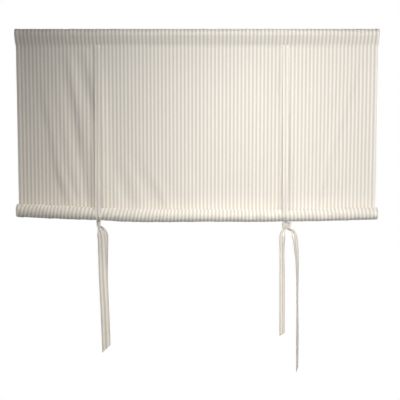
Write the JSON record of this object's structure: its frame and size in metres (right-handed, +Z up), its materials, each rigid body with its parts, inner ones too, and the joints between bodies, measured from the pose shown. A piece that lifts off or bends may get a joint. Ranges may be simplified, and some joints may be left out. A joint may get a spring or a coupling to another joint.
{
  "type": "tie-up blind",
  "caption": "Fabric window blind hung from a pole in a sewn pocket, its lower part rolled up to the front and held by knotted cloth ties; ivory cotton with taupe stripes.",
  "frame": {"origin": "the middle of the head pole's axis", "axes": "+X to the right along the pole, -Y the face of the blind, +Y the wall side, +Z up"},
  "size_m": [1.2, 0.0461, 1.146],
  "materials": {
    "pole_paint": "satin",
    "stripe_cloth": "matte",
    "tie_cloth": "matte",
    "dowel_wood": "raw"
  },
  "bodies": {
    "root": {"head_pole": "pole_paint", "blind_cloth": "stripe_cloth", "bottom_dowel": "dowel_wood", "left_front_tie": "tie_cloth", "left_back_tie": "tie_cloth", "right_front_tie": "tie_cloth", "right_back_tie": "tie_cloth"}
  },
  "joints": []
}
